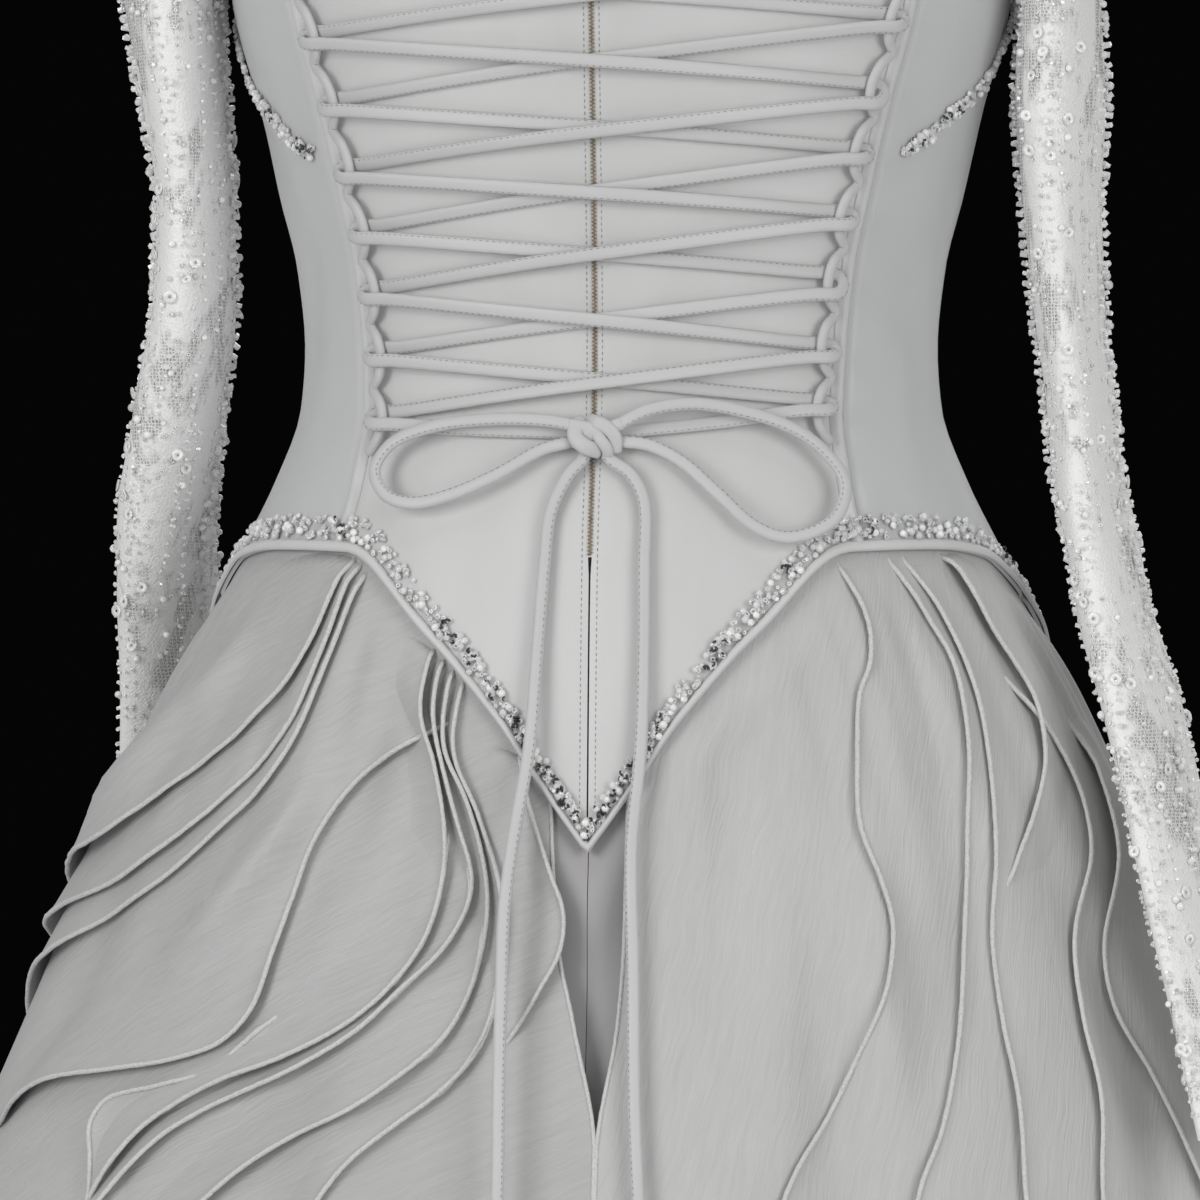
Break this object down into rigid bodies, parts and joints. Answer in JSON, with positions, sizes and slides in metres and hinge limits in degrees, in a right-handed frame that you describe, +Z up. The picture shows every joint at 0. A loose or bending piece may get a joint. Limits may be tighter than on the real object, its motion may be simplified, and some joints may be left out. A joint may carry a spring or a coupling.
{
  "type": "ball gown",
  "caption": "Long-sleeved ball gown with a laced basque bodice, sheer beaded sleeves and a full skirt of layered flounces, worn by a person.",
  "frame": {"origin": "centre of the waist, where the wearer's waist holds the gown", "axes": "+Z up from the waist to the shoulders, -Y out of the laced back, +X to the right of the back as seen from behind"},
  "size_m": [1.23, 1.1599, 1.461],
  "materials": {
    "satin": "smooth pale grey satin crepe, soft sheen",
    "side_satin": "the same satin crepe, a little darker side panels",
    "rouleau": "flattened rouleau cord with fine machine stitching",
    "organza": "crinkled organza with a metallic glint and rolled hems",
    "lining": "plain mauve-grey lining",
    "beaded_net": "sheer net with lace, bugle beads, sequins and pearls",
    "beads": "pearls and clear crystals",
    "zip_tape": "cream zip tape with a fine coil",
    "zip_metal": "small dull nickel slider and tab"
  },
  "bodies": {
    "gown": {"bodice_centre_back_left": "satin", "lacing_strip_left": "satin", "bodice_side_back_left": "side_satin", "bodice_side_front_left": "side_satin", "upper_bead_trim_left": "beads", "shoulder_yoke_left": "satin", "sleeve_left": "beaded_net", "lace_loops_left": "rouleau", "bow_loop_left": "rouleau", "bow_tail_left": "rouleau", "overskirt_back_left": "organza", "underskirt_back_left": "lining", "bodice_centre_back_right": "satin", "lacing_strip_right": "satin", "bodice_side_back_right": "side_satin", "bodice_side_front_right": "side_satin", "upper_bead_trim_right": "beads", "shoulder_yoke_right": "satin", "sleeve_right": "beaded_net", "lace_loops_right": "rouleau", "bow_loop_right": "rouleau", "bow_tail_right": "rouleau", "overskirt_back_right": "organza", "underskirt_back_right": "lining", "bodice_centre_front": "satin", "basque_binding": "satin", "basque_bead_band": "beads", "lace_over": "rouleau", "lace_under": "rouleau", "bow_knot": "rouleau", "zip_teeth": "zip_tape", "zip_slider": "zip_metal", "overskirt_front": "organza", "underskirt_front": "lining", "flounce_left_1": "organza", "flounce_left_2": "organza", "flounce_left_3": "organza", "flounce_left_4": "organza", "flounce_left_5": "organza", "flounce_left_6": "organza", "flounce_left_7": "organza", "flounce_left_8": "organza", "flounce_left_9": "organza", "fold_bundle_1": "organza", "fold_bundle_2": "organza", "fold_bundle_3": "organza", "fold_bundle_4": "organza", "fold_bundle_5": "organza", "flounce_right_1": "organza", "flounce_right_2": "organza", "flounce_right_3": "organza", "flounce_right_4": "organza", "flounce_right_5": "organza", "flounce_right_6": "organza", "flounce_front_1": "organza", "flounce_front_2": "organza", "flounce_front_3": "organza", "flounce_front_4": "organza"},
    "pull_tab": {"zip_pull_tab": "zip_metal"}
  },
  "joints": [
    {"name": "pull_tab_hinge", "type": "hinge", "parent": "gown", "child": "pull_tab", "pos_m": [0, -0.10146, 0.1871], "axis": [-1, 0, 0], "range_deg": [0, 150]}
  ]
}
